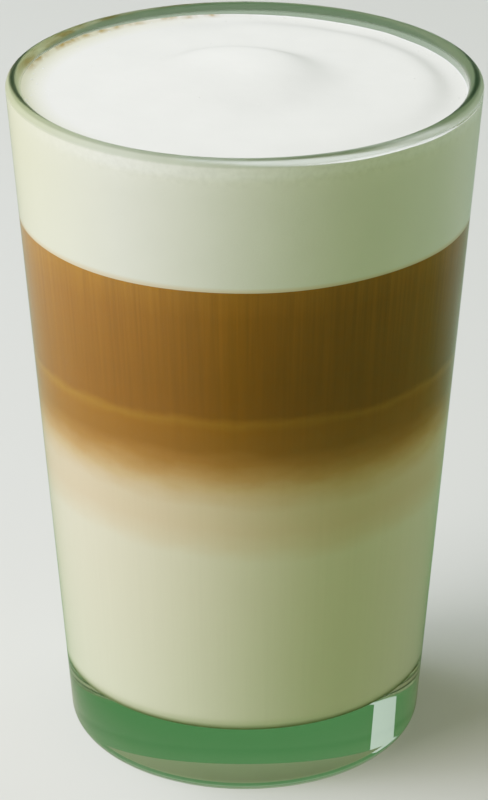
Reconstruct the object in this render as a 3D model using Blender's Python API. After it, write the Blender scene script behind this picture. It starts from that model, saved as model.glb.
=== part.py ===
"""A layered milk coffee under a cap of foam, in the plain tumbler it is served in.

Metres, +Z up. The origin is the middle of the glass's foot, on the surface that the
glass stands on, and the side that faces the viewer looks along -Y.
"""
import math

import bmesh
import bpy

# Tumbler: a straight wall that leans out, a rounded lip and a thick base
GLASS_HEIGHT = 0.1210
RIM_RADIUS = 0.0400          # outer wall's line, carried up to the rim's height
FOOT_RADIUS = 0.0309         # outer wall's line, carried down to the table
WALL_THICKNESS = 0.0026      # square to the wall
BASE_THICKNESS = 0.0125
HEEL_RADIUS = 0.0037
INNER_CORNER_RADIUS = 0.0030
RECESS_RADIUS = 0.0240       # shallow flat recess under the base
RECESS_DEPTH = 0.0002
RECESS_STEP = 0.0018         # width of the soft step from the recess down to the foot ring

# Drink: the heights where one layer gives way to the next
MILK_TOP = 0.0500
BLEND_TOP = 0.0738
COFFEE_TOP = 0.0972
CLEARANCE = 0.0003           # between any two touching pieces
MILK_UNEVENNESS = 0.0009     # how far each boundary wanders up and down
BLEND_UNEVENNESS = 0.0005
COFFEE_UNEVENNESS = 0.0002
BOUNDARY_WAVES = ((1.0, 2, 0.6), (0.6, 3, 2.1), (0.4, 7, 0.0))   # share, times round, shift

# Foam: a broad cushion and a low mound on it, each steep on one side, climbing the wall
FOAM_LEVEL = 0.1185          # its lowest ring, near the wall
CUSHION_RADIUS = 0.0330
CUSHION_HEIGHT = 0.0008
CUSHION_STEEP_SIDE = math.radians(36)
MOUND_CENTRE = (-0.0015, 0.0040)
MOUND_RADIUS = 0.0135
MOUND_HEIGHT = 0.0014
MOUND_STEEP_SIDE = math.radians(85)
STEEP_FALL = 0.0008          # about a quarter of the width over which a swelling falls
GENTLE_FALL = 0.0040
FALL_TURN = 1.05             # how soon the fall turns steep towards the steep side
CLIMB_HEIGHT = 0.0006        # how far the foam climbs the wall
CLIMB_LEAN = 0.014           # how much further it climbs for each metre to the left
CLIMB_WIDTH = 0.0014
RIPPLE_HEIGHT = 0.00006
RIPPLE_LENGTHS = (0.0190, 0.0300)

# Fineness of the faceted shapes
SEGMENTS = 96
LIP_STEPS = 10
HEEL_STEPS = 6
CORNER_STEPS = 5
STEP_STEPS = 4
FOAM_RINGS = 18
MERGE_DISTANCE = 1e-6
SHARP_ANGLE = math.radians(38)

LEAN = math.atan2(RIM_RADIUS - FOOT_RADIUS, GLASS_HEIGHT)
STRAIGHT_DOWN = -math.pi / 2

COLOURS = {
    "glass": (0.80, 0.92, 0.82),
    "milk": (0.79, 0.77, 0.66),
    "milk_coffee_blend": (0.48, 0.33, 0.16),
    "coffee": (0.25, 0.12, 0.03),
    "foam": (0.86, 0.86, 0.82),
}


def wall_radius(height, inset=0.0):
    """Radius at a height of the outer wall, or of a face that far inside it."""
    return FOOT_RADIUS + height * math.tan(LEAN) - inset / math.cos(LEAN)


def corner_centre(floor, inset, radius):
    """Centre of an arc that joins a level floor to the leaning wall."""
    height = floor + radius
    return wall_radius(height, inset + radius), height


def arc(centre, radius, start, end, steps):
    """Points on an arc, both ends included, as (radius, height) pairs."""
    angles = [start + (end - start) * step / steps for step in range(steps + 1)]
    return [(centre[0] + radius * math.cos(a), centre[1] + radius * math.sin(a)) for a in angles]


def underside_profile():
    """The flat recess under the base and its soft step down to the ring it stands on."""
    turns = [math.pi * step / STEP_STEPS for step in range(STEP_STEPS + 1)]
    step = [(RECESS_RADIUS + RECESS_STEP * turn / math.pi, RECESS_DEPTH * (1 + math.cos(turn)) / 2)
            for turn in turns]
    return [(0.0, RECESS_DEPTH)] + step


def glass_profile():
    """The tumbler's section: underside, heel, outer wall, lip, inner wall and floor."""
    heel = arc(corner_centre(0.0, 0.0, HEEL_RADIUS), HEEL_RADIUS, STRAIGHT_DOWN, -LEAN, HEEL_STEPS)
    lip_radius = WALL_THICKNESS / 2
    lip_height = GLASS_HEIGHT - lip_radius
    lip_centre = (wall_radius(lip_height, lip_radius), lip_height)
    lip = arc(lip_centre, lip_radius, -LEAN, math.pi - LEAN, LIP_STEPS)
    inner = arc(
        corner_centre(BASE_THICKNESS, WALL_THICKNESS, INNER_CORNER_RADIUS),
        INNER_CORNER_RADIUS, -LEAN, STRAIGHT_DOWN, CORNER_STEPS,
    )
    return underside_profile() + heel + lip + inner + [(0.0, BASE_THICKNESS)]


def side_radius(height):
    """Radius of the drink's side, a clearance away from the inner wall."""
    return wall_radius(height, WALL_THICKNESS + CLEARANCE)


def milk_profile():
    """Milk from the floor's rounded corner up to its own top."""
    floor = BASE_THICKNESS + CLEARANCE
    radius = INNER_CORNER_RADIUS - CLEARANCE
    centre = corner_centre(floor, WALL_THICKNESS + CLEARANCE, radius)
    corner = arc(centre, radius, STRAIGHT_DOWN, -LEAN, CORNER_STEPS)
    return [(0.0, floor)] + corner + [(side_radius(MILK_TOP), MILK_TOP), (0.0, MILK_TOP)]


def layer_profile(low, high):
    """A layer between two heights that reaches right through the drink."""
    return [(0.0, low), (side_radius(low), low), (side_radius(high), high), (0.0, high)]


def foam_profile():
    """Foam with a fine fan of rings on top, which the relief then raises."""
    low = COFFEE_TOP + CLEARANCE
    edge = side_radius(FOAM_LEVEL)
    rings = [(edge * ring / FOAM_RINGS, FOAM_LEVEL) for ring in range(FOAM_RINGS, -1, -1)]
    return [(0.0, low), (side_radius(low), low)] + rings


def wander(x, y, unevenness):
    """Rise of a layer's boundary, nothing on the axis and full at the wall."""
    angle = math.atan2(y, x)
    reach = math.hypot(x, y) / wall_radius(BLEND_TOP, WALL_THICKNESS)
    wave = sum(share * math.sin(times * angle + shift) for share, times, shift in BOUNDARY_WAVES)
    return unevenness * reach * wave / 2


def swelling(x, y, centre, radius, height, steep_side):
    """Height of a round swelling that falls steeply on one side and gently on the other."""
    across = x - centre[0]
    along = y - centre[1]
    towards = (1 + math.cos(math.atan2(along, across) - steep_side)) / 2
    fall = GENTLE_FALL + (STEEP_FALL - GENTLE_FALL) * min(1.0, FALL_TURN * towards)
    return height / (1 + math.exp((math.hypot(across, along) - radius) / fall))


def foam_relief(x, y):
    """Height of the foam's surface above its lowest ring, the one near the wall."""
    to_wall = side_radius(FOAM_LEVEL) - math.hypot(x, y)
    mound = swelling(x, y, MOUND_CENTRE, MOUND_RADIUS, MOUND_HEIGHT, MOUND_STEEP_SIDE)
    cushion = swelling(x, y, (0.0, 0.0), CUSHION_RADIUS, CUSHION_HEIGHT, CUSHION_STEEP_SIDE)
    climb = (CLIMB_HEIGHT - CLIMB_LEAN * x) * math.exp(-to_wall / CLIMB_WIDTH)
    across, along = (math.tau * place / length for place, length in zip((x, y), RIPPLE_LENGTHS))
    ripple = RIPPLE_HEIGHT * math.sin(across) * math.cos(along)
    return mound + cushion + climb + ripple


def turn_profile(profile):
    """A closed solid of revolution from a section that starts and ends on the axis."""
    solid = bmesh.new()
    points = [solid.verts.new((radius, 0.0, height)) for radius, height in profile]
    edges = [solid.edges.new(pair) for pair in zip(points, points[1:])]
    bmesh.ops.spin(solid, geom=points + edges, cent=(0, 0, 0), axis=(0, 0, 1), angle=math.tau,
                   steps=SEGMENTS)
    bmesh.ops.remove_doubles(solid, verts=solid.verts, dist=MERGE_DISTANCE)
    bmesh.ops.recalc_face_normals(solid, faces=solid.faces)
    return solid


def raise_level(solid, level, rise):
    """Move the points that lie on one level up or down by rise(x, y)."""
    for point in solid.verts:
        if abs(point.co.z - level) < MERGE_DISTANCE:
            point.co.z += rise(point.co.x, point.co.y)


def make_material(name):
    """The piece's own finish: clear for the tumbler, matt for what is in it."""
    material = bpy.data.materials.new(name)
    material.use_nodes = True
    shader = material.node_tree.nodes["Principled BSDF"]
    shader.inputs["Base Color"].default_value = (*COLOURS[name], 1.0)
    shader.inputs["Metallic"].default_value = 0.0
    shader.inputs["Roughness"].default_value = 0.6
    if name == "glass":
        shader.inputs["Roughness"].default_value = 0.0
        shader.inputs["IOR"].default_value = 1.5
        shader.inputs["Transmission Weight"].default_value = 1.0
    return material


def add_piece(name, solid):
    """Put a finished solid in the scene as a named object."""
    mesh = bpy.data.meshes.new(name)
    solid.to_mesh(mesh)
    solid.free()
    mesh.shade_smooth()
    mesh.set_sharp_from_angle(angle=SHARP_ANGLE)
    mesh.materials.append(make_material(name))
    bpy.context.scene.collection.objects.link(bpy.data.objects.new(name, mesh))


def milk_top(x, y):
    """Uneven boundary between the milk and the blend above it."""
    return wander(x, y, MILK_UNEVENNESS)


def blend_top(x, y):
    """Uneven boundary between the blend and the coffee above it."""
    return wander(-y, x, BLEND_UNEVENNESS)


def coffee_top(x, y):
    """Nearly level boundary between the coffee and the foam that floats on it."""
    return wander(y, -x, COFFEE_UNEVENNESS)


def add_glass():
    add_piece("glass", turn_profile(glass_profile()))


def add_milk():
    solid = turn_profile(milk_profile())
    raise_level(solid, MILK_TOP, milk_top)
    add_piece("milk", solid)


def add_blend():
    solid = turn_profile(layer_profile(MILK_TOP + CLEARANCE, BLEND_TOP))
    raise_level(solid, MILK_TOP + CLEARANCE, milk_top)
    raise_level(solid, BLEND_TOP, blend_top)
    add_piece("milk_coffee_blend", solid)


def add_coffee():
    solid = turn_profile(layer_profile(BLEND_TOP + CLEARANCE, COFFEE_TOP))
    raise_level(solid, BLEND_TOP + CLEARANCE, blend_top)
    raise_level(solid, COFFEE_TOP, coffee_top)
    add_piece("coffee", solid)


def add_foam():
    solid = turn_profile(foam_profile())
    raise_level(solid, COFFEE_TOP + CLEARANCE, coffee_top)
    raise_level(solid, FOAM_LEVEL, foam_relief)
    add_piece("foam", solid)


def main():
    for existing in list(bpy.data.objects):
        bpy.data.objects.remove(existing)
    add_glass()
    add_milk()
    add_blend()
    add_coffee()
    add_foam()


main()
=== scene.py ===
"""Dress a packed layered latte: its tumbler, its layers, its foam and a plain stage.

Laid out as an add-on, run as a script. Lengths are metres, or millimetres where a name ends
in _mm or a comment says so. The glass's axis is Z, its foot stands at height 0, and the
viewer looks from -Y.
"""
import math

import bmesh
import bpy
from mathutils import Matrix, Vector, noise


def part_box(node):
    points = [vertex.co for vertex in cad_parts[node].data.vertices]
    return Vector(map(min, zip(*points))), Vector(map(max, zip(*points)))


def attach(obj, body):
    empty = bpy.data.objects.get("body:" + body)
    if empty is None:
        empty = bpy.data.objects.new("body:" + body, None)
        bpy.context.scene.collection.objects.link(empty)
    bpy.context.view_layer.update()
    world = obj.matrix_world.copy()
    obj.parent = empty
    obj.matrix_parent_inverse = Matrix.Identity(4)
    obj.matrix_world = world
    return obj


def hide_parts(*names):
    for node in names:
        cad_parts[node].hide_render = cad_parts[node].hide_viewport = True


bl_info = {
    "name": "Layered Latte",
    "version": (1, 0, 0),
    "blender": (4, 5, 0),
    "location": "3D View > Sidebar > Latte",
    "description": "Builds a layered latte in a clear tumbler round its packed solids",
    "category": "Object",
}

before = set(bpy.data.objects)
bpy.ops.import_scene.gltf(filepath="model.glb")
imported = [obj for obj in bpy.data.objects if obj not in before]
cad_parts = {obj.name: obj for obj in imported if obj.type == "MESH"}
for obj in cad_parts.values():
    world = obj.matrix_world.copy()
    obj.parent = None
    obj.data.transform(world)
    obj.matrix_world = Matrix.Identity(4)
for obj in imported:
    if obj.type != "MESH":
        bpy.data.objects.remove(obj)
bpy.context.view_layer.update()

MM = 0.001
BODY = "root"
FULL_TURN = math.tau
STRAIGHT_DOWN = -math.pi / 2

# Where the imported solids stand, from which every piece takes its place
CLEARANCE = 0.0003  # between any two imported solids
GLASS_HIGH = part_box("glass")[1]
RIM_HEIGHT = GLASS_HIGH.z
RIM_RADIUS = GLASS_HIGH.x
FLOOR_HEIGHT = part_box("milk")[0].z - CLEARANCE

# Fineness of the turned shapes
AROUND = 192
RECESS_STEPS = 12
HEEL_STEPS = 16
LIP_STEPS = 24
CORNER_STEPS = 12
FOAM_SIDE_STEPS = 20
FOAM_RINGS = 110
MERGE_DISTANCE = 1e-7
SHARP_ANGLE = math.radians(50)

# Finishes. A pair says where something starts and where it is full
WHITE = (1.0, 1.0, 1.0, 1.0)
NOISE_SPAN = (0.3, 0.7)  # where nearly all of a noise's values lie

# Glass's finish, and the painted dark green band on its lip
LIP_TOP = (0.0014, 0.0010)  # below the rim
LIP_INNER_HALF = (0.0009, 0.0006)  # outwards from the middle of the lip
STRONGEST_LOSS = 0.95  # the most absorbed channel's loss, as a share of the density

# Layers: where each gives way to the next, and how those boundaries wander, as share,
# times round and shift
MILK_TOP = 0.0500
BLEND_TOP = 0.0738
COFFEE_TOP = 0.0972
BOUNDARY_WAVES = ((1.0, 2, 0.6), (0.6, 3, 2.1), (0.4, 7, 0.0))

# Heights in millimetres and colours down the drink's side, from the floor to the foam
LAYER_STOPS = (
    (12.4, "E9E5CF"),
    (12.6, "5E6436"),  # painted shade: the dark line that the thick base bends round the milk, painted into the milk's colour
    (12.9, "7A8052"),
    (14.0, "E9E5CF"),  # milk
    (47.0, "EDE1CC"),
    (50.0, "E9D3B8"),
    (53.0, "E6CAAD"),  # milk stained beige
    (57.0, "E5CAAD"),
    (60.1, "D8B188"),
    (62.6, "C3905B"),
    (65.4, "A56D34"),
    (68.1, "8E591F"),  # coffee that has sunk into the milk
    (71.6, "8B5516"),
    (72.9, "95601C"),  # the light line where the blend ends
    (74.2, "7D4A11"),  # coffee
    (80.0, "7C4A0F"),
    (92.0, "845013"),
    (97.4, "915B1C"),
)
CLOUD_SIZE = (0.009, 0.009, 0.004)  # along X, Y and Z
CLOUD_HEIGHTS = (20.0, 50.0)  # millimetres, over which the clouds begin
CLOUD_SWING = 3.0  # millimetres that a cloud shifts the colours up or down
STREAK_LENGTH = 0.030
STREAK_HEIGHTS = (66.0, 90.0)  # millimetres, over which the streaks begin
STREAKS_BELOW = 0.08  # share of their strength that is left below
PAINTED_LIGHT_SIDE = (0.004, -0.033)  # painted light: along X, from the middle to the lit left
PAINTED_LIGHT_HEIGHTS = (64.0, 76.0)  # millimetres
PAINTED_LIGHT_GAIN = (0.36, 0.42, 0.05)  # how much lighter the painted light makes red, green and blue there

# Foam's relief
MOUND_CENTRE = (-0.0015, 0.0040)
MOUND_STEEP_SIDE = math.radians(85)  # direction in which the low mound folds
CUSHION_STEEP_SIDE = math.radians(36)
STEEP_FALL = 0.0008  # about a quarter of the width over which a swelling falls
GENTLE_FALL = 0.0040
FALL_TURN = 1.05  # how soon the fall turns steep towards the steep side
CLIMB_LEAN = 0.014  # how much further it climbs for each metre to the left
RIPPLE_HEIGHT = 0.00006
RIPPLE_LENGTHS = (0.0190, 0.0300)
GRAINS = ((0.0060, 0.000060, 0.0), (0.0016, 0.000018, 0.5))  # width, height, noise's level

# Foam's finish, with painted shade in its folds and a painted highlight on its mound
MOUND_FOLD_SHADE = 0.26  # painted shade: how much darker each fold is than the rest
CUSHION_FOLD_SHADE = 0.17
MOUND_HIGHLIGHT = 0.08  # painted highlight: how much whiter the mound's front left is
MOUND_HIGHLIGHT_CENTRE = (-0.0025, 0.0100)
MOUND_HIGHLIGHT_REACH = (0.0080, 0.0065)  # along X and along Y
MICRO_GRAIN = 0.0004  # several bubbles wide, because one is too small to show
SPECK_WIDTH = 0.0011
SPECK_SPAN = (0.35, 0.65)
SPECK_HEIGHTS = (0.1150, 0.1172)
SPECK_TONES = (0.004, 0.055)  # how much the specks lighten and darken below and above
BLOTCH_WIDTH = 0.007
BLOTCH_TONES = (0.985, 1.015)
SIDE_BAND = (0.0004, 0.0002)  # in from the foam's edge
RIM_LIGHT_HEIGHTS = (0.1166, 0.1178)
RIM_LIGHT = 0.75  # painted light through the lip: how near to white the side is under the rim
SOAKED_HEIGHTS = (0.0981, 0.0974)
SOAKED = 0.55  # share of coffee in the foam's lowest edge
PATCH_WIDTH = 0.0035
PATCH_SPAN = (0.38, 0.60)
PATCH_LEAST = 0.15  # of the tan stain, where it is thinnest

# Stains: direction in degrees, its cosines, and distances in from the foam's edge
CREAM_STAIN = (168, (0.35, 0.90), (0.0045, 0.0005))
TAN_STAIN = (130, (0.72, 0.86), (0.0011, 0.0003))

# Bubbles
BARE_EDGE = 0.0005  # bubbles thin out this near to the wall
GATHERING = 0.0016  # how far from the wall they gather
STRAY_SHARE = 0.02  # how thick they lie out on the foam
SMALLEST = 0.3  # of the largest bubble's radius
RARITY = 3.0  # how rare the large ones are
SUNK = 0.5  # of its own radius
PLACE_SEED = 7
SIZE_SEED = 3
FILM_WIDTH = 0.0008
FILM_TONES = (0.90, 1.0)
FILM_SHINE = (0.15, 0.35)  # roughness where the film is thin and where it is thick

# Stage
FULL_LIGHT = 2.5  # light that shows as pure white
SHOULDER_POINTS = (0.006, 0.015, 0.03, 0.06, 0.11, 0.18, 0.28, 0.42, 0.6, 0.8)
AIM_HEIGHT = 0.07  # where the lamps look
PAINTED_POOL_LEFT = (-0.02, -0.20)  # painted pool of light on the floor, along X
PAINTED_POOL_FOOT = (0.045, 0.032)  # painted pool of light round the foot, from the axis
BOUNCE_BACK = (0.05, 0.15)  # along Y
GLOW_RISE = (0.15, 0.75)  # sines of the height in the sky
ROOM_RISE = (0.20, 0.30)

# Lamps and cards: name, place, width, watts, colour, and whether it shows in the glass
LAMPS = (
    ("key", (-0.86, -0.33, 0.62), 0.75, 14.5, (1.0, 0.963, 0.90), False),
    ("overhead", (-0.60, 0.10, 1.00), 0.80, 19.5, (0.86, 0.925, 1.0), False),
    ("card_right", (0.80, -0.36, 0.50), 0.30, 0.25, (1.0, 1.0, 1.0), True),
    ("card_left", (-0.62, 0.60, 0.50), 0.22, 0.12, (1.0, 1.0, 1.0), True),
    ("back_right", (0.85, 0.55, 0.45), 0.70, 4.3, (0.85, 1.0, 0.98), False),
)


def rgb(hex_colour):
    """Linear red, green and blue of an sRGB hex colour such as E9EAE4."""
    channels = [int(hex_colour[i:i + 2], 16) / 255 for i in (0, 2, 4)]
    return tuple(c / 12.92 if c <= 0.04045 else ((c + 0.055) / 1.055) ** 2.4 for c in channels)


def opaque(colour):
    """A linear colour with full alpha, as shader sockets take it."""
    return (*colour, 1.0)


def size_setting(name, description, default, low=0.0):
    """A size in metres that the user can change."""
    return bpy.props.FloatProperty(name=name, description=description, default=default,
                                   min=low, unit="LENGTH")


def colour_setting(name, description, default):
    """A linear colour that the user can change."""
    return bpy.props.FloatVectorProperty(name=name, description=description, default=default,
                                         min=0.0, max=1.0, subtype="COLOR")


class TumblerSettings(bpy.types.PropertyGroup):
    """Sizes and tint of the glass."""

    wall: size_setting("Wall", "Thickness of the wall, square to it", 0.0026, 0.001)
    foot_radius: size_setting(
        "Foot radius", "Outer wall's line carried down to the table", 0.0309, 0.01)
    heel_radius: size_setting(
        "Heel rounding", "Rounding between the wall and the foot", 0.0037, 0.0005)
    corner_radius: size_setting(
        "Inner corner", "Rounding between the inner wall and the floor", 0.0030, 0.0005)
    recess_radius: size_setting(
        "Recess radius", "Reach of the flat recess under the base", 0.0240, 0.001)
    recess_depth: size_setting("Recess depth", "Depth of the recess under the base", 0.0002)
    recess_step: size_setting(
        "Recess step", "Width of the soft step down to the foot ring", 0.0018, 0.0001)
    tint: colour_setting(
        "Tint", "What the glass leaves of white light over the tint depth", (0.88, 0.97, 0.91))
    tint_depth: size_setting("Tint depth", "Length of glass that gives the tint", 0.040, 0.001)
    # the lip's two tones are a painted refraction of the dark green room
    lip_outside_painted_refraction: colour_setting("Lip outside", "Tone of the lip's outer half", rgb("BAC3B4"))
    lip_inside_painted_refraction: colour_setting("Lip inside", "Tone of the lip's inner half", rgb("75816E"))
    lip_roughness: bpy.props.FloatProperty(
        name="Lip roughness", description="How lightly frosted the lip is",
        default=0.3, min=0.0, max=1.0)


class DrinkSettings(bpy.types.PropertyGroup):
    """Boundaries of the layers, and their streaks."""

    reach: size_setting(
        "Reach into the wall", "How far the drink goes into the glass's wall", 0.00012)
    milk_unevenness: size_setting(
        "Milk unevenness", "How far the milk's top wanders up and down", 0.0009)
    blend_unevenness: size_setting(
        "Blend unevenness", "How far the blend's top wanders up and down", 0.0005)
    coffee_unevenness: size_setting(
        "Coffee unevenness", "How far the coffee's top wanders up and down", 0.0002)
    streak_mm: bpy.props.FloatProperty(
        name="Streak width", description="Width of the fine upright streaks, in millimetres",
        default=0.7, min=0.1)
    streak_strength: bpy.props.FloatProperty(
        name="Streak strength", description="How much the streaks lighten and darken",
        default=0.15, min=0.0, max=1.0)


class FoamSettings(bpy.types.PropertyGroup):
    """Relief, bubbles and colours of the foam."""

    level: size_setting("Level", "Height of the foam's lowest ring, near the wall", 0.1185)
    cushion_radius: size_setting(
        "Cushion radius", "Reach of the broad swelling of the whole surface", 0.0330, 0.001)
    cushion_height: size_setting("Cushion height", "Height of the broad swelling", 0.0008)
    mound_radius: size_setting(
        "Mound radius", "Reach of the low mound in the middle", 0.0135, 0.001)
    mound_height: size_setting("Mound height", "Height of the low mound in the middle", 0.0014)
    climb_height: size_setting("Climb", "How far the foam climbs the wall", 0.0006)
    climb_width: size_setting(
        "Climb width", "Width over which the climb falls away", 0.0014, 0.0001)
    bubble_size: size_setting("Bubble size", "Radius of the largest bubbles", 0.00026, 0.00002)
    bubble_density: bpy.props.FloatProperty(
        name="Bubbles", description="Bubbles on each square metre where they stand closest",
        default=900000.0, min=0.0)
    colour: colour_setting("Foam", "Colour of the milk foam", rgb("F3F2EC"))
    cream_colour: colour_setting("Cream", "Colour of the foam's edge on the left", rgb("E6E4C4"))
    stain_colour: colour_setting(
        "Stain", "Colour of the coffee stain at the back left", rgb("A98A4C"))
    soaked_colour: colour_setting(
        "Soaked", "Colour of the foam's lowest edge, on the coffee", rgb("D2AC78"))


class StageSettings(bpy.types.PropertyGroup):
    """Camera, floor, backdrop and soft light."""

    lens_mm: bpy.props.FloatProperty(
        name="Lens", description="Focal length on a frame 36 mm tall", default=157.0)
    camera_aside: size_setting("Camera aside", "Right of the glass's axis", -0.00012, -1.0)
    camera_distance: size_setting("Camera distance", "From the glass's axis, level", 0.550)
    camera_height: size_setting("Camera height", "Above the table", 0.317)
    camera_tilt: bpy.props.FloatProperty(
        name="Camera tilt", description="How far the camera looks down",
        default=math.radians(24.93), subtype="ANGLE")
    floor_radius: size_setting("Floor radius", "Reach of the plain floor", 3.0)
    floor_colour: colour_setting(
        "Floor", "Colour of the floor that the camera sees", rgb("DADAD6"))
    bounce_front: colour_setting(
        "Bounce, front", "Light that the floor throws up in front", rgb("4A7A48"))
    bounce_back: colour_setting(
        "Bounce, back", "Light that the floor throws up behind", rgb("84957F"))
    bounce_painted_pool: colour_setting(
        "Bounce, left", "Light thrown up on the left and under the foot", rgb("A6A696"))
    backdrop: colour_setting(
        "Backdrop", "Colour that the camera sees past the floor", rgb("F2F2EF"))
    glow_low: colour_setting("Glow, low", "Soft light from near the horizon", (1.0, 0.95, 0.51))
    glow_high: colour_setting("Glow, high", "Soft light from above", (0.02, 0.03, 0.02))
    room_low: colour_setting(
        "Room, low", "What the glass shows of the room low down", (0.28, 0.42, 0.26))
    room_high: colour_setting(
        "Room, high", "What the glass shows of the room higher up", (0.085, 0.26, 0.085))


def line_radius_at_rim():
    """Radius that the outer wall's line reaches at the rim's height."""
    settings = bpy.context.scene.latte_tumbler
    lip = settings.wall / 2
    rough = math.atan2(RIM_RADIUS - settings.foot_radius, RIM_HEIGHT)
    return RIM_RADIUS + lip * (1 / math.cos(rough) - 1) + lip * math.tan(rough)


def lean():
    """Angle by which the wall leans out from upright."""
    foot = bpy.context.scene.latte_tumbler.foot_radius
    return math.atan2(line_radius_at_rim() - foot, RIM_HEIGHT)


def wall_radius(height, inset=0.0):
    """Radius at a height of the outer wall, or of a face that far inside it."""
    angle = lean()
    foot = bpy.context.scene.latte_tumbler.foot_radius
    return foot + height * math.tan(angle) - inset / math.cos(angle)


def drink_radius(height):
    """Radius of the drink's side, which reaches just into the wall."""
    wall = bpy.context.scene.latte_tumbler.wall
    return wall_radius(height, wall - bpy.context.scene.latte_drink.reach)


def corner_centre(floor, inset, radius):
    """Centre of an arc that joins a level floor to the leaning wall."""
    height = floor + radius
    return wall_radius(height, inset + radius), height


def arc(centre, radius, start, end, steps):
    """Points on an arc, both ends included, as (radius, height) pairs."""
    angles = [start + (end - start) * step / steps for step in range(steps + 1)]
    return [(centre[0] + radius * math.cos(a), centre[1] + radius * math.sin(a)) for a in angles]


def turn_profile(name, profile):
    """A closed mesh turned round the axis from a section that starts and ends on it."""
    solid = bmesh.new()
    points = [solid.verts.new((radius, 0.0, height)) for radius, height in profile]
    edges = [solid.edges.new(pair) for pair in zip(points, points[1:])]
    bmesh.ops.spin(solid, geom=points + edges, cent=(0, 0, 0), axis=(0, 0, 1), angle=FULL_TURN,
                   steps=AROUND)
    bmesh.ops.remove_doubles(solid, verts=solid.verts, dist=MERGE_DISTANCE)
    bmesh.ops.recalc_face_normals(solid, faces=solid.faces)
    mesh = bpy.data.meshes.new(name)
    solid.to_mesh(mesh)
    solid.free()
    return mesh


def wander(x, y, unevenness):
    """Rise of a layer's boundary, nothing on the axis and full at the wall."""
    angle = math.atan2(y, x)
    reach = math.hypot(x, y) / wall_radius(BLEND_TOP, bpy.context.scene.latte_tumbler.wall)
    wave = sum(share * math.sin(times * angle + shift) for share, times, shift in BOUNDARY_WAVES)
    return unevenness * reach * wave / 2


def floor_rise(x, y):
    """The milk lies level on the floor of the glass."""
    return 0.0


def milk_rise(x, y):
    """Uneven boundary between the milk and the blend above it."""
    return wander(x, y, bpy.context.scene.latte_drink.milk_unevenness)


def blend_rise(x, y):
    """Uneven boundary between the blend and the coffee above it."""
    return wander(-y, x, bpy.context.scene.latte_drink.blend_unevenness)


def coffee_rise(x, y):
    """Nearly level boundary between the coffee and the foam that floats on it."""
    return wander(y, -x, bpy.context.scene.latte_drink.coffee_unevenness)


def swelling(x, y, centre, radius, steep_side):
    """How far up a round swelling a point lies and how steep it is there, both 0 to 1."""
    across = x - centre[0]
    along = y - centre[1]
    towards = (1 + math.cos(math.atan2(along, across) - steep_side)) / 2
    fall = GENTLE_FALL + (STEEP_FALL - GENTLE_FALL) * min(1.0, FALL_TURN * towards)
    share = 1 / (1 + math.exp((math.hypot(across, along) - radius) / fall))
    return share, 4 * share * (1 - share) * STEEP_FALL / fall


def mound(x, y):
    """The low mound in the middle, which falls steeply towards the back."""
    radius = bpy.context.scene.latte_foam.mound_radius
    return swelling(x, y, MOUND_CENTRE, radius, MOUND_STEEP_SIDE)


def cushion(x, y):
    """The broad swelling of the whole surface, steep on the right near the wall."""
    radius = bpy.context.scene.latte_foam.cushion_radius
    return swelling(x, y, (0.0, 0.0), radius, CUSHION_STEEP_SIDE)


def foam_relief(x, y):
    """Height of the foam's surface above its lowest ring, the one near the wall."""
    foam = bpy.context.scene.latte_foam
    to_wall = drink_radius(foam.level) - math.hypot(x, y)
    swell = mound(x, y)[0] * foam.mound_height + cushion(x, y)[0] * foam.cushion_height
    climb = (foam.climb_height - CLIMB_LEAN * x) * math.exp(-to_wall / foam.climb_width)
    across, along = (FULL_TURN * here / length for here, length in zip((x, y), RIPPLE_LENGTHS))
    ripple = RIPPLE_HEIGHT * math.sin(across) * math.cos(along)
    return swell + climb + ripple


def place(name, mesh, material, node):
    """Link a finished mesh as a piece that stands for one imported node."""
    mesh.materials.clear()
    mesh.materials.append(material)
    mesh.shade_smooth()
    mesh.set_sharp_from_angle(angle=SHARP_ANGLE)
    piece = bpy.data.objects.new(name, mesh)
    bpy.context.scene.collection.objects.link(piece)
    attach(piece, BODY)
    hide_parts(node)
    return piece


def add_node(tree, kind, inputs=(), **settings):
    """Add a node and set it. Inputs come in order or by name, each as a value, as another
    node's output, or as that node itself, which stands for its first output in use."""
    node = tree.nodes.new(kind)
    for name, value in settings.items():
        setattr(node, name, value)
    for name, value in (inputs.items() if isinstance(inputs, dict) else enumerate(inputs)):
        if isinstance(value, bpy.types.Node):
            value = next(output for output in value.outputs if not output.is_unavailable)
        if isinstance(value, bpy.types.NodeSocket):
            tree.links.new(value, node.inputs[name])
        else:
            node.inputs[name].default_value = value
    return node


def start_material(name):
    """A new material, its tree and the plain surface shader that it starts with."""
    material = bpy.data.materials.new(name)
    material.use_nodes = True
    return material, material.node_tree, material.node_tree.nodes["Principled BSDF"]


def from_axis(tree, coordinates):
    """A point's distance from the glass's axis, and its level direction from there."""
    flat = add_node(tree, "ShaderNodeVectorMath", (
        coordinates, (1.0, 1.0, 0.0)), operation="MULTIPLY").outputs[0]
    distance = add_node(tree, "ShaderNodeVectorMath", (flat,), operation="LENGTH")
    direction = add_node(tree, "ShaderNodeVectorMath", (flat,), operation="NORMALIZE")
    return distance.outputs["Value"], direction.outputs[0]


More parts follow.
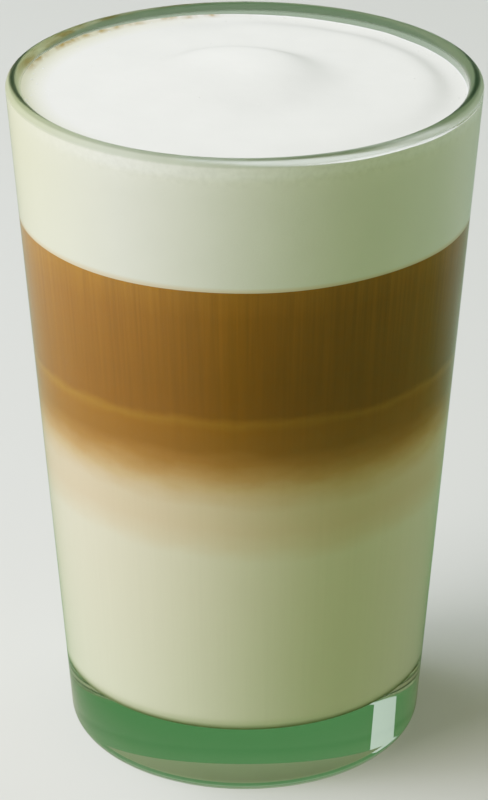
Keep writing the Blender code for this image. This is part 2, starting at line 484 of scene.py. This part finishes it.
class LATTE_OT_tumbler(bpy.types.Operator):
    """Turn the tumbler and give it clear, faintly green glass."""

    bl_idname = "latte.tumbler"
    bl_label = "Build Tumbler"

    def execute(self, context):
        settings = context.scene.latte_tumbler
        mesh = turn_profile("tumbler", self.profile(settings))
        place("tumbler", mesh, self.material(settings), "glass")
        return {"FINISHED"}

    def profile(self, settings):
        """Underside, heel, outer wall, lip, inner wall and floor."""
        angle = lean()
        turns = [math.pi * step / RECESS_STEPS for step in range(RECESS_STEPS + 1)]
        underside = [(0.0, settings.recess_depth)]
        underside += [(settings.recess_radius + settings.recess_step * turn / math.pi,
                       settings.recess_depth * (1 + math.cos(turn)) / 2) for turn in turns]
        heel = arc(corner_centre(0.0, 0.0, settings.heel_radius), settings.heel_radius,
                   STRAIGHT_DOWN, -angle, HEEL_STEPS)
        lip_radius = settings.wall / 2
        lip_height = RIM_HEIGHT - lip_radius
        lip_centre = (wall_radius(lip_height, lip_radius), lip_height)
        lip = arc(lip_centre, lip_radius, -angle, math.pi - angle, LIP_STEPS)
        corner = corner_centre(FLOOR_HEIGHT, settings.wall, settings.corner_radius)
        inner = arc(corner, settings.corner_radius, -angle, STRAIGHT_DOWN, CORNER_STEPS)
        return underside + heel + lip + inner + [(0.0, FLOOR_HEIGHT)]

    def material(self, settings):
        """Pressed and fire-polished soda-lime glass: clear where it is thin, green where
        the light has far to go, as in the base. It casts no hard shadow on the drink, which
        light reaches as through thin glass."""
        material, tree, glass = start_material("soda_lime_glass_fire_polished")
        self.finish_lip(tree, glass, settings)
        glass.inputs["IOR"].default_value = 1.52
        glass.inputs["Transmission Weight"].default_value = 1.0
        path = add_node(tree, "ShaderNodeLightPath").outputs
        clear = add_node(tree, "ShaderNodeBsdfTransparent", {"Color": WHITE})
        soft = add_node(tree, "ShaderNodeMixShader", (path["Is Diffuse Ray"], glass, clear))
        lit = add_node(tree, "ShaderNodeMixShader", (path["Is Shadow Ray"], soft, clear))
        losses = [-math.log(share) / settings.tint_depth for share in settings.tint]
        density = max(losses) / STRONGEST_LOSS
        body = opaque(1 - loss / density for loss in losses)
        volume = add_node(tree, "ShaderNodeVolumeAbsorption", {"Color": body, "Density": density})
        output = tree.nodes["Material Output"]
        tree.links.new(lit.outputs[0], output.inputs["Surface"])
        tree.links.new(volume.outputs[0], output.inputs["Volume"])
        return material

    def finish_lip(self, tree, glass, settings):
        """Paint the lip dark green, standing in for the room that it bends into a dark green
        band, and frost it faintly.
        """
        coordinates = add_node(tree, "ShaderNodeTexCoord").outputs["Object"]
        height = add_node(tree, "ShaderNodeSeparateXYZ", (coordinates,)).outputs["Z"]
        radius = from_axis(tree, coordinates)[0]
        middle = wall_radius(RIM_HEIGHT - settings.wall / 2, settings.wall / 2)
        top = add_node(tree, "ShaderNodeMapRange", (
            height, RIM_HEIGHT - LIP_TOP[0], RIM_HEIGHT - LIP_TOP[1])).outputs[0]
        half = add_node(tree, "ShaderNodeMapRange", (
            radius, middle + LIP_INNER_HALF[0], middle + LIP_INNER_HALF[1])).outputs[0]
        inside = add_node(tree, "ShaderNodeMath", (top, half), operation="MULTIPLY")
        # painted refraction: the lip's colour darkened towards its top and inner half
        pale = add_node(tree, "ShaderNodeMix", {
            "Factor": top, "A": WHITE, "B": opaque(settings.lip_outside_painted_refraction)},
            data_type="RGBA")
        tone = add_node(tree, "ShaderNodeMix", {
            "Factor": inside, "A": pale, "B": opaque(settings.lip_inside_painted_refraction)}, data_type="RGBA")
        frost = add_node(tree, "ShaderNodeMapRange", (top, 0.0, 1.0, 0.0, settings.lip_roughness))
        tree.links.new(tone.outputs["Result"], glass.inputs["Base Color"])
        tree.links.new(frost.outputs[0], glass.inputs["Roughness"])


class LATTE_OT_layers(bpy.types.Operator):
    """Build milk, blend and coffee as solids that fill the glass right through."""

    bl_idname = "latte.layers"
    bl_label = "Build Layers"

    def execute(self, context):
        drink = context.scene.latte_drink
        tumbler = context.scene.latte_tumbler
        floor = FLOOR_HEIGHT - drink.reach
        radius = tumbler.corner_radius + drink.reach
        centre = corner_centre(floor, tumbler.wall - drink.reach, radius)
        corner = arc(centre, radius, STRAIGHT_DOWN, -lean(), CORNER_STEPS)
        low = corner[-1][1]
        self.add("milk_layer", "milk", low, MILK_TOP, floor_rise, milk_rise,
                 [(0.0, floor)] + corner)
        self.add("blend_layer", "milk_coffee_blend", MILK_TOP, BLEND_TOP, milk_rise, blend_rise)
        self.add("coffee_layer", "coffee", BLEND_TOP, COFFEE_TOP, blend_rise, coffee_rise)
        return {"FINISHED"}

    def add(self, name, node, low, high, low_rise, high_rise, underside=None):
        """One layer from a height to the next, its two faces bent as the boundaries are."""
        rings = max(2, round((high - low) / MM))
        heights = [low + (high - low) * ring / rings for ring in range(1, rings + 1)]
        profile = underside or [(0.0, low), (drink_radius(low), low)]
        profile += [(drink_radius(height), height) for height in heights]
        mesh = turn_profile(name, profile + [(0.0, high)])
        level = mesh.attributes.new("level", "FLOAT", "POINT")
        for vertex in mesh.vertices:
            x, y, z = vertex.co
            share = min(max((z - low) / (high - low), 0.0), 1.0)
            level.data[vertex.index].value = z / MM
            vertex.co.z += low_rise(x, y) * (1 - share) + high_rise(x, y) * share
        place(name, mesh, self.material(node), node)

    def material(self, name):
        """Steamed milk and espresso, opaque, and wetting the glass, so with hardly any
        shine of their own: soft upright streaks where the coffee has run down, cloudy edges
        where it has sunk into the milk, and painted light that makes the coffee lighter
        towards the left, the side that the lamps light."""
        material, tree, shader = start_material(name + "_drink")
        shader.inputs["Roughness"].default_value = 0.5
        shader.inputs["IOR"].default_value = 1.1
        coordinates = add_node(tree, "ShaderNodeTexCoord").outputs["Object"]
        level = add_node(tree, "ShaderNodeAttribute", attribute_name="level").outputs["Fac"]
        layers = self.layer_colour(tree, coordinates, level)
        # painted light, lighter on the left
        painted_gain = self.painted_light_side(tree, coordinates, level)
        streaks = self.streaks(tree, coordinates, level)
        lit_layers = add_node(tree, "ShaderNodeVectorMath", (layers, painted_gain), operation="MULTIPLY")
        toned = add_node(tree, "ShaderNodeVectorMath", {
            0: lit_layers, "Scale": streaks}, operation="SCALE")
        tree.links.new(toned.outputs[0], shader.inputs["Base Color"])
        return material

    def layer_colour(self, tree, coordinates, level):
        """Colour by height, with clouds 4 to 9 mm across that shift it up and down."""
        spacing = tuple(1 / size for size in CLOUD_SIZE)
        cloud_place = add_node(tree, "ShaderNodeVectorMath", (
            coordinates, spacing), operation="MULTIPLY")
        clouds = add_node(tree, "ShaderNodeTexNoise", {
            "Vector": cloud_place, "Scale": 1.0, "Detail": 4.0, "Roughness": 0.55})
        reach = add_node(tree, "ShaderNodeMapRange", (level, *CLOUD_HEIGHTS, 0.0, CLOUD_SWING))
        drift = add_node(tree, "ShaderNodeMath", (
            clouds.outputs["Fac"], 0.5), operation="SUBTRACT")
        moved = add_node(tree, "ShaderNodeMath", (drift, reach, level), operation="MULTIPLY_ADD")
        bottom, top = LAYER_STOPS[0][0], LAYER_STOPS[-1][0]
        share = add_node(tree, "ShaderNodeMapRange", (moved, bottom, top))
        ramp = add_node(tree, "ShaderNodeValToRGB", {"Fac": share})
        elements = ramp.color_ramp.elements
        while len(elements) < len(LAYER_STOPS):
            elements.new(0.5)
        for element, (height, colour) in zip(elements, LAYER_STOPS):
            element.position = (height - bottom) / (top - bottom)
            element.color = opaque(rgb(colour))
        return ramp.outputs["Color"]

    def streaks(self, tree, coordinates, level):
        """Fine upright streaks in the coffee, plainest just under the foam."""
        drink = bpy.context.scene.latte_drink
        widths = drink_radius(COFFEE_TOP) / MM / drink.streak_mm
        turns = add_node(tree, "ShaderNodeVectorMath", {
            0: from_axis(tree, coordinates)[1], "Scale": widths}, operation="SCALE")
        lengths = add_node(tree, "ShaderNodeVectorMath", (
            coordinates, (0.0, 0.0, 1 / STREAK_LENGTH)), operation="MULTIPLY")
        around = add_node(tree, "ShaderNodeVectorMath", (turns, lengths))
        lines = add_node(tree, "ShaderNodeTexNoise", {
            "Vector": around, "Scale": 1.0, "Detail": 3.0, "Roughness": 0.6})
        strength = add_node(tree, "ShaderNodeMapRange", (
            level, *STREAK_HEIGHTS, STREAKS_BELOW * drink.streak_strength, drink.streak_strength))
        swing = add_node(tree, "ShaderNodeMapRange", (
            lines.outputs["Fac"], *NOISE_SPAN, -1.0, 1.0))
        tone = add_node(tree, "ShaderNodeMath", (swing, strength, 1.0), operation="MULTIPLY_ADD")
        return tone.outputs[0]

    def painted_light_side(self, tree, coordinates, level):
        """Painted light: how much lighter the coffee is towards the lit left, and none at all in
        the milk.
        """
        sides = add_node(tree, "ShaderNodeSeparateXYZ", (coordinates,))
        leftwards = add_node(tree, "ShaderNodeMapRange", (sides.outputs["X"], *PAINTED_LIGHT_SIDE))
        in_coffee = add_node(tree, "ShaderNodeMapRange", (level, *PAINTED_LIGHT_HEIGHTS))
        share = add_node(tree, "ShaderNodeMath", (leftwards, in_coffee), operation="MULTIPLY")
        tone = add_node(tree, "ShaderNodeVectorMath", (
            share, PAINTED_LIGHT_GAIN, (1.0, 1.0, 1.0)), operation="MULTIPLY_ADD")
        return tone.outputs[0]


class LATTE_OT_foam(bpy.types.Operator):
    """Build the cap of foam with its mound, folds and rise at the wall."""

    bl_idname = "latte.foam"
    bl_label = "Build Foam"

    def execute(self, context):
        level = context.scene.latte_foam.level
        edge = drink_radius(level)
        side = [COFFEE_TOP + (level - COFFEE_TOP) * step / FOAM_SIDE_STEPS
                for step in range(FOAM_SIDE_STEPS)]
        profile = [(0.0, COFFEE_TOP)] + [(drink_radius(height), height) for height in side]
        profile += [(edge * ring / FOAM_RINGS, level) for ring in range(FOAM_RINGS, -1, -1)]
        mesh = turn_profile("foam_cap", profile)
        # the tone attribute carries the painted shade in the folds and the painted highlight on
        # the mound
        tone = mesh.attributes.new("tone", "FLOAT", "POINT")
        for vertex in mesh.vertices:
            x, y, z = vertex.co
            tone.data[vertex.index].value = self.tone(x, y)
            if abs(z - level) < MERGE_DISTANCE:
                vertex.co.z += foam_relief(x, y) + self.grain(x, y)
            elif abs(z - COFFEE_TOP) < MERGE_DISTANCE:
                vertex.co.z += coffee_rise(x, y)
        place("foam_cap", mesh, self.material(), "foam")
        return {"FINISHED"}

    def tone(self, x, y):
        """Painted shade darkens the folds where the relief falls steeply, and a painted highlight
        whitens the mound's front left.
        """
        fold_shade = MOUND_FOLD_SHADE * mound(x, y)[1] + CUSHION_FOLD_SHADE * cushion(x, y)[1]
        across, along = ((here - middle) / reach for here, middle, reach
                         in zip((x, y), MOUND_HIGHLIGHT_CENTRE, MOUND_HIGHLIGHT_REACH))
        return 1 - fold_shade + MOUND_HIGHLIGHT * math.exp(-across ** 2 - along ** 2)

    def grain(self, x, y):
        """Fine unevenness of foam that was poured and has settled."""
        return sum(height * noise.noise(Vector((x, y, level)) / width)
                   for width, height, level in GRAINS)

    def material(self):
        """Microfoam, milk beaten full of bubbles too small to tell apart: white, matt, with
        a faint grain, and a thin tan line of coffee where it met the wall at the back left."""
        material, tree, shader = start_material("milk_microfoam")
        shader.inputs["Roughness"].default_value = 0.6
        shader.inputs["IOR"].default_value = 1.2
        coordinates = add_node(tree, "ShaderNodeTexCoord").outputs["Object"]
        tree.links.new(self.colour(tree, coordinates), shader.inputs["Base Color"])
        grain = add_node(tree, "ShaderNodeTexNoise", {
            "Vector": coordinates, "Scale": 1 / MICRO_GRAIN, "Detail": 3.0, "Roughness": 0.6})
        bump = add_node(tree, "ShaderNodeBump", {
            "Height": grain.outputs["Fac"], "Strength": 0.12, "Distance": 0.0002})
        tree.links.new(bump.outputs[0], shader.inputs["Normal"])
        return material

    def colour(self, tree, coordinates):
        """Milk white, mottled by bubbles under the rim, with painted light under the rim, painted
        shade in the folds and a painted highlight on the mound, stained along the wall.
        """
        foam = bpy.context.scene.latte_foam
        height = add_node(tree, "ShaderNodeSeparateXYZ", (coordinates,)).outputs["Z"]
        radius, outwards = from_axis(tree, coordinates)
        inwards = add_node(tree, "ShaderNodeMath", (
            drink_radius(foam.level), radius), operation="SUBTRACT").outputs[0]
        white = self.mottling(tree, coordinates, height, inwards)
        creamy = add_node(tree, "ShaderNodeMix", {
            "Factor": self.stain(tree, outwards, inwards, CREAM_STAIN), "A": white,
            "B": opaque(foam.cream_colour)}, data_type="RGBA")
        patches = add_node(tree, "ShaderNodeTexNoise", {
            "Vector": coordinates, "Scale": 1 / PATCH_WIDTH, "Detail": 2.0, "Roughness": 0.6})
        uneven = add_node(tree, "ShaderNodeMapRange", (
            patches.outputs["Fac"], *PATCH_SPAN, PATCH_LEAST))
        tan = add_node(tree, "ShaderNodeMath", (
            self.stain(tree, outwards, inwards, TAN_STAIN), uneven), operation="MULTIPLY")
        stained = add_node(tree, "ShaderNodeMix", {
            "Factor": tan, "A": creamy, "B": opaque(foam.stain_colour)}, data_type="RGBA")
        soaked = add_node(tree, "ShaderNodeMapRange", (height, *SOAKED_HEIGHTS, 0.0, SOAKED))
        colour = add_node(tree, "ShaderNodeMix", {
            "Factor": soaked, "A": stained, "B": opaque(foam.soaked_colour)}, data_type="RGBA")
        return colour.outputs["Result"]

    def mottling(self, tree, coordinates, height, inwards):
        """Larger bubbles that show as light and dark specks just under the rim, painted light
        that whitens the side under the rim, and on top the folds' painted shade and the
        mound's painted highlight."""
        specks = add_node(tree, "ShaderNodeTexNoise", {
            "Vector": coordinates, "Scale": 1 / SPECK_WIDTH, "Detail": 3.0, "Roughness": 0.65})
        swing = add_node(tree, "ShaderNodeMapRange", (
            specks.outputs["Fac"], *SPECK_SPAN, -1.0, 1.0))
        under_rim = add_node(tree, "ShaderNodeMapRange", (height, *SPECK_HEIGHTS, *SPECK_TONES))
        blotches = add_node(tree, "ShaderNodeTexNoise", {
            "Vector": coordinates, "Scale": 1 / BLOTCH_WIDTH, "Detail": 2.0, "Roughness": 0.5})
        broad = add_node(tree, "ShaderNodeMapRange", (
            blotches.outputs["Fac"], *NOISE_SPAN, *BLOTCH_TONES)).outputs[0]
        side = add_node(tree, "ShaderNodeMath", (
            swing, under_rim, broad), operation="MULTIPLY_ADD")
        # painted shade in the folds and painted highlight on the mound, from the tone attribute
        painted_relief_light = add_node(tree, "ShaderNodeAttribute", attribute_name="tone").outputs["Fac"]
        top = add_node(tree, "ShaderNodeMath", (broad, painted_relief_light), operation="MULTIPLY")
        at_side = add_node(tree, "ShaderNodeMapRange", (inwards, *SIDE_BAND)).outputs[0]
        shade = add_node(tree, "ShaderNodeMix", {
            "Factor": at_side, "A": top, "B": side}, data_type="FLOAT")
        # painted light: the side under the rim whitened as if lit through the lip
        painted_rim_light = add_node(tree, "ShaderNodeMapRange", (
            height, *RIM_LIGHT_HEIGHTS, 0.0, RIM_LIGHT))
        at_rim = add_node(tree, "ShaderNodeMath", (painted_rim_light, at_side), operation="MULTIPLY")
        base = add_node(tree, "ShaderNodeMix", {
            "Factor": at_rim, "A": opaque(bpy.context.scene.latte_foam.colour),
            "B": WHITE}, data_type="RGBA")
        colour = add_node(tree, "ShaderNodeVectorMath", {
            0: base, "Scale": shade}, operation="SCALE")
        return colour.outputs[0]

    def stain(self, tree, outwards, inwards, stain):
        """Share of a stain that lies along the wall, round about one direction."""
        direction, cosines, distances = stain
        turn = math.radians(direction)
        facing = add_node(tree, "ShaderNodeVectorMath", (
            outwards, (math.cos(turn), math.sin(turn), 0.0)), operation="DOT_PRODUCT")
        here = add_node(tree, "ShaderNodeMapRange", (facing.outputs["Value"], *cosines))
        at_wall = add_node(tree, "ShaderNodeMapRange", (inwards, *distances))
        share = add_node(tree, "ShaderNodeMath", (here, at_wall), operation="MULTIPLY")
        return share.outputs[0]


class LATTE_OT_bubbles(bpy.types.Operator):
    """Scatter the larger bubbles, which gather where the foam meets the wall."""

    bl_idname = "latte.bubbles"
    bl_label = "Build Bubbles"

    def execute(self, context):
        foam = context.scene.latte_foam
        piece = bpy.data.objects.new("foam_bubbles", self.ground(foam))
        context.scene.collection.objects.link(piece)
        modifier = piece.modifiers.new("bubbles", "NODES")
        modifier.node_group = self.tree()
        values = {"Density": foam.bubble_density, "Largest": foam.bubble_size,
                  "Material": self.material()}
        for item in modifier.node_group.interface.items_tree:
            if item.item_type == "SOCKET" and item.in_out == "INPUT" and item.name in values:
                modifier[item.identifier] = values[item.name]
        depsgraph = context.evaluated_depsgraph_get()
        mesh = bpy.data.meshes.new_from_object(piece.evaluated_get(depsgraph))
        piece.modifiers.clear()
        piece.data = mesh
        mesh.shade_smooth()
        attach(piece, BODY)
        return {"FINISHED"}

    def ground(self, foam):
        """The foam's top as a bare sheet, with how thickly bubbles lie at each point."""
        mesh = bpy.data.meshes.new("foam_bubbles")
        solid = bmesh.new()
        solid.from_mesh(bpy.data.objects["foam_cap"].data)
        below = [face for face in solid.faces if min(v.co.z for v in face.verts) < foam.level]
        bmesh.ops.delete(solid, geom=below, context="FACES")
        solid.to_mesh(mesh)
        solid.free()
        share = mesh.attributes.new("nearness", "FLOAT", "POINT")
        edge = drink_radius(foam.level)
        for vertex in mesh.vertices:
            to_wall = edge - math.hypot(vertex.co.x, vertex.co.y)
            inside = min(1.0, max(0.0, to_wall / BARE_EDGE))
            thickness = STRAY_SHARE + math.exp(-to_wall / GATHERING)
            share.data[vertex.index].value = inside * thickness
        return mesh

    def tree(self):
        """Points on the sheet, denser by nearness, each with a low dome of its own size."""
        tree = bpy.data.node_groups.new("scatter_bubbles", "GeometryNodeTree")
        faces = tree.interface
        faces.new_socket("Geometry", in_out="INPUT", socket_type="NodeSocketGeometry")
        faces.new_socket("Density", in_out="INPUT", socket_type="NodeSocketFloat")
        faces.new_socket("Largest", in_out="INPUT", socket_type="NodeSocketFloat")
        faces.new_socket("Material", in_out="INPUT", socket_type="NodeSocketMaterial")
        faces.new_socket("Geometry", in_out="OUTPUT", socket_type="NodeSocketGeometry")
        given = add_node(tree, "NodeGroupInput").outputs
        near = add_node(tree, "GeometryNodeInputNamedAttribute", {
            "Name": "nearness"}, data_type="FLOAT")
        thick = add_node(tree, "ShaderNodeMath", (
            given["Density"], near.outputs["Attribute"]), operation="MULTIPLY")
        points = add_node(tree, "GeometryNodeDistributePointsOnFaces", {
            "Mesh": given["Geometry"], "Density": thick, "Seed": PLACE_SEED})
        chance = add_node(tree, "FunctionNodeRandomValue", {"Seed": SIZE_SEED}, data_type="FLOAT")
        rare = add_node(tree, "ShaderNodeMath", (
            chance.outputs["Value"], RARITY), operation="POWER")
        small = add_node(tree, "ShaderNodeMapRange", (rare, 0.0, 1.0, SMALLEST))
        radius = add_node(tree, "ShaderNodeMath", (
            small, given["Largest"]), operation="MULTIPLY").outputs[0]
        sunk = add_node(tree, "ShaderNodeMath", (radius, -SUNK), operation="MULTIPLY")
        down = add_node(tree, "ShaderNodeCombineXYZ", {"Z": sunk})
        settled = add_node(tree, "GeometryNodeSetPosition", {
            "Geometry": points.outputs["Points"], "Offset": down})
        ball = add_node(tree, "GeometryNodeMeshIcoSphere", {"Radius": 1.0, "Subdivisions": 2})
        domes = add_node(tree, "GeometryNodeInstanceOnPoints", {
            "Points": settled, "Instance": ball.outputs["Mesh"], "Scale": radius})
        real = add_node(tree, "GeometryNodeRealizeInstances", {"Geometry": domes})
        dressed = add_node(tree, "GeometryNodeSetMaterial", {
            "Geometry": real, "Material": given["Material"]})
        add_node(tree, "NodeGroupOutput", {"Geometry": dressed})
        return tree

    def material(self):
        """The wet film of a bubble: milk white like the foam, but thinner and shinier, with
        a faint unevenness where it drains."""
        material, tree, shader = start_material("milk_bubble_film")
        shader.inputs["IOR"].default_value = 1.33
        coordinates = add_node(tree, "ShaderNodeTexCoord").outputs["Object"]
        draining = add_node(tree, "ShaderNodeTexNoise", {
            "Vector": coordinates, "Scale": 1 / FILM_WIDTH, "Detail": 1.0}).outputs["Fac"]
        tone = add_node(tree, "ShaderNodeMapRange", (draining, *NOISE_SPAN, *FILM_TONES))
        colour = add_node(tree, "ShaderNodeVectorMath", {
            0: bpy.context.scene.latte_foam.colour, "Scale": tone}, operation="SCALE")
        shine = add_node(tree, "ShaderNodeMapRange", (draining, *NOISE_SPAN, *FILM_SHINE))
        tree.links.new(colour.outputs[0], shader.inputs["Base Color"])
        tree.links.new(shine.outputs[0], shader.inputs["Roughness"])
        return material


class LATTE_OT_stage(bpy.types.Operator):
    """Put the camera, the plain floor and the soft lamps in place."""

    bl_idname = "latte.stage"
    bl_label = "Build Stage"

    def execute(self, context):
        settings = context.scene.latte_stage
        context.scene.view_settings.view_transform = "Standard"
        self.shoulder(context.scene.view_settings)
        self.camera(context, settings)
        self.floor(settings)
        self.world(context, settings)
        for lamp in LAMPS:
            self.lamp(*lamp)
        return {"FINISHED"}

    def shoulder(self, view):
        """Bend bright tones over gently, as a photograph does, up to white at full light."""
        view.use_curve_mapping = True
        mapping = view.curve_mapping
        mapping.white_level = (FULL_LIGHT,) * 3
        curve = mapping.curves[3]
        for share in SHOULDER_POINTS:
            curve.points.new(share, FULL_LIGHT * share / (1 + (FULL_LIGHT - 1) * share))
        for point in curve.points:
            point.handle_type = "AUTO_CLAMPED"
        mapping.update()

    def camera(self, context, settings):
        """The photograph's view: a long lens, from in front and above."""
        data = bpy.data.cameras.new("camera")
        data.sensor_fit = "VERTICAL"
        data.sensor_height = 36.0
        data.lens = settings.lens_mm
        data.clip_start = 0.01
        camera = bpy.data.objects.new("camera", data)
        camera.location = (settings.camera_aside, -settings.camera_distance,
                           settings.camera_height)
        camera.rotation_euler = (math.pi / 2 - settings.camera_tilt, 0.0, 0.0)
        context.scene.collection.objects.link(camera)
        context.scene.camera = camera

    def floor(self, settings):
        """A plain pale tabletop."""
        solid = bmesh.new()
        bmesh.ops.create_circle(solid, cap_ends=True, segments=96, radius=settings.floor_radius)
        mesh = bpy.data.meshes.new("floor")
        solid.to_mesh(mesh)
        solid.free()
        mesh.materials.append(self.floor_material(settings))
        floor = bpy.data.objects.new("floor", mesh)
        bpy.context.scene.collection.objects.link(floor)

    def floor_material(self, settings):
        """Matt painted board, nearly white to the camera. To all other rays it is green, darker
        in front, with a painted pool of light on the left and round the foot, which it throws
        back up.
        """
        material, tree, shader = start_material("painted_board")
        shader.inputs["Roughness"].default_value = 0.8
        shader.inputs["Specular IOR Level"].default_value = 0.1
        coordinates = add_node(tree, "ShaderNodeTexCoord").outputs["Object"]
        sides = add_node(tree, "ShaderNodeSeparateXYZ", (coordinates,)).outputs
        # painted pool of light, lighter on the left and round the foot, seen only by rays other
        # than the camera's
        left = add_node(tree, "ShaderNodeMapRange", (sides["X"], *PAINTED_POOL_LEFT))
        near = add_node(tree, "ShaderNodeMapRange", (
            from_axis(tree, coordinates)[0], *PAINTED_POOL_FOOT))
        lit = add_node(tree, "ShaderNodeMath", (left, near), operation="MAXIMUM")
        behind = add_node(tree, "ShaderNodeMapRange", (sides["Y"], *BOUNCE_BACK))
        dim = add_node(tree, "ShaderNodeMix", {
            "Factor": behind, "A": opaque(settings.bounce_front),
            "B": opaque(settings.bounce_back)}, data_type="RGBA")
        bounce = add_node(tree, "ShaderNodeMix", {
            "Factor": lit, "A": dim, "B": opaque(settings.bounce_painted_pool)}, data_type="RGBA")
        path = add_node(tree, "ShaderNodeLightPath")
        colour = add_node(tree, "ShaderNodeMix", {
            "Factor": path.outputs["Is Camera Ray"], "A": bounce,
            "B": opaque(settings.floor_colour)}, data_type="RGBA")
        tree.links.new(colour.outputs["Result"], shader.inputs["Base Color"])
        return material

    def world(self, context, settings):
        """A warm glow on what is matt, a dim sage room in what is clear, and a pale
        backdrop where the camera sees past the floor."""
        world = bpy.data.worlds.new("surroundings")
        world.use_nodes = True
        tree = world.node_tree
        tree.nodes.clear()
        towards = add_node(tree, "ShaderNodeTexCoord").outputs["Generated"]
        height = add_node(tree, "ShaderNodeSeparateXYZ", (towards,)).outputs["Z"]
        glow_rise = add_node(tree, "ShaderNodeMapRange", (
            height, *GLOW_RISE), interpolation_type="SMOOTHSTEP")
        room_rise = add_node(tree, "ShaderNodeMapRange", (height, *ROOM_RISE))
        glow = self.graded(tree, glow_rise, settings.glow_low, settings.glow_high)
        room = self.graded(tree, room_rise, settings.room_low, settings.room_high)
        pale = add_node(tree, "ShaderNodeBackground", {"Color": opaque(settings.backdrop)})
        path = add_node(tree, "ShaderNodeLightPath").outputs
        through = add_node(tree, "ShaderNodeMixShader", (path["Is Diffuse Ray"], room, glow))
        seen = add_node(tree, "ShaderNodeMixShader", (path["Is Camera Ray"], through, pale))
        output = add_node(tree, "ShaderNodeOutputWorld", {"Surface": seen})
        output.is_active_output = True
        context.scene.world = world

    def graded(self, tree, rise, low, high):
        """Light that goes from one colour to another as the sky rises."""
        below = add_node(tree, "ShaderNodeBackground", {"Color": opaque(low)})
        above = add_node(tree, "ShaderNodeBackground", {"Color": opaque(high)})
        return add_node(tree, "ShaderNodeMixShader", (rise, below, above)).outputs[0]

    def lamp(self, name, location, width, power, colour, in_glass):
        """A square softbox that faces the glass, or a card that only the glass shows, as a
        bent image in its base."""
        data = bpy.data.lights.new(name, "AREA")
        data.shape = "SQUARE"
        data.size = width
        data.energy = power
        data.color = colour
        lamp = bpy.data.objects.new(name, data)
        lamp.location = location
        lamp.visible_glossy = False
        lamp.visible_diffuse = not in_glass
        lamp.visible_transmission = in_glass
        aim = Vector((0.0, 0.0, AIM_HEIGHT)) - lamp.location
        lamp.rotation_euler = aim.to_track_quat("-Z", "Y").to_euler()
        bpy.context.scene.collection.objects.link(lamp)


class LATTE_PT_panel(bpy.types.Panel):
    """Lists the operators in the order in which they build the drink."""

    bl_idname = "LATTE_PT_panel"
    bl_label = "Layered Latte"
    bl_space_type = "VIEW_3D"
    bl_region_type = "UI"
    bl_category = "Latte"

    def draw(self, context):
        for operator in OPERATORS:
            self.layout.operator(operator.bl_idname)


OPERATORS = (LATTE_OT_tumbler, LATTE_OT_layers, LATTE_OT_foam, LATTE_OT_bubbles, LATTE_OT_stage)
SETTINGS = {
    "latte_tumbler": TumblerSettings,
    "latte_drink": DrinkSettings,
    "latte_foam": FoamSettings,
    "latte_stage": StageSettings,
}


def register():
    for group in SETTINGS.values():
        bpy.utils.register_class(group)
    for name, group in SETTINGS.items():
        setattr(bpy.types.Scene, name, bpy.props.PointerProperty(type=group))
    for cls in (*OPERATORS, LATTE_PT_panel):
        bpy.utils.register_class(cls)


def unregister():
    for cls in reversed((*OPERATORS, LATTE_PT_panel)):
        bpy.utils.unregister_class(cls)
    for name, group in SETTINGS.items():
        delattr(bpy.types.Scene, name)
        bpy.utils.unregister_class(group)


def main():
    register()
    bpy.ops.latte.tumbler()
    bpy.ops.latte.layers()
    bpy.ops.latte.foam()
    bpy.ops.latte.bubbles()
    bpy.ops.latte.stage()


if __name__ == "__main__":
    main()
